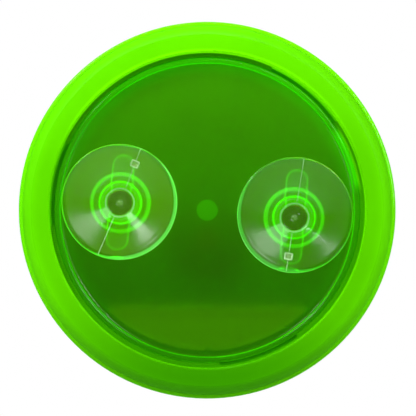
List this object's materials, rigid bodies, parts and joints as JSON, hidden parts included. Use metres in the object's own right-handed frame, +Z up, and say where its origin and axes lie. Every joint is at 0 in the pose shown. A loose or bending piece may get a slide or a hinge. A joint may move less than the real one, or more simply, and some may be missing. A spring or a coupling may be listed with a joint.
{
  "type": "window wasp trap",
  "caption": "Round translucent green wasp trap for a window pane, with clear suction cups, twist-off back plate, entry cone and bait tray.",
  "frame": {"origin": "on the window pane's face, midway between the two suction cups' axes, where the sealing lands rest", "axes": "+Y away from the pane into the room, along the trap's round axis; +Z up; +X to the right seen through the pane"},
  "size_m": [0.1504, 0.063, 0.1504],
  "materials": {
    "plate_plastic": "clear green moulded plastic, polished",
    "ring_plastic": "clear lime green moulded plastic, polished",
    "shell_plastic": "clear lime green moulded plastic, polished",
    "seal_rubber": "soft natural grey rubber",
    "cone_plastic": "clear green moulded plastic",
    "tray_plastic": "clear green moulded plastic",
    "cup_vinyl": "clear soft vinyl"
  },
  "bodies": {
    "plate": {"back_plate": "plate_plastic"},
    "housing": {"rear_ring": "ring_plastic", "front_shell": "shell_plastic", "seal_ring": "seal_rubber", "bait_tray": "tray_plastic"},
    "cone": {"entry_cone": "cone_plastic"},
    "cup_left": {"suction_cup_left": "cup_vinyl"},
    "cup_right": {"suction_cup_right": "cup_vinyl"}
  },
  "joints": [
    {"name": "housing_twist", "type": "hinge", "parent": "plate", "child": "housing", "pos_m": [0, 0.013, 0], "axis": [0, 1, 0], "range_deg": [0, 30]},
    {"name": "cone_pull", "type": "slide", "parent": "housing", "child": "cone", "axis": [0, 1, 0], "range_m": [0, 0.04]},
    {"name": "cup_left_swivel", "type": "hinge", "parent": "plate", "child": "cup_left", "pos_m": [-0.03462, 0, 0.00297], "axis": [0, 1, 0], "continuous": true},
    {"name": "cup_right_swivel", "type": "hinge", "parent": "plate", "child": "cup_right", "pos_m": [0.03462, 0, -0.00297], "axis": [0, 1, 0], "continuous": true}
  ]
}
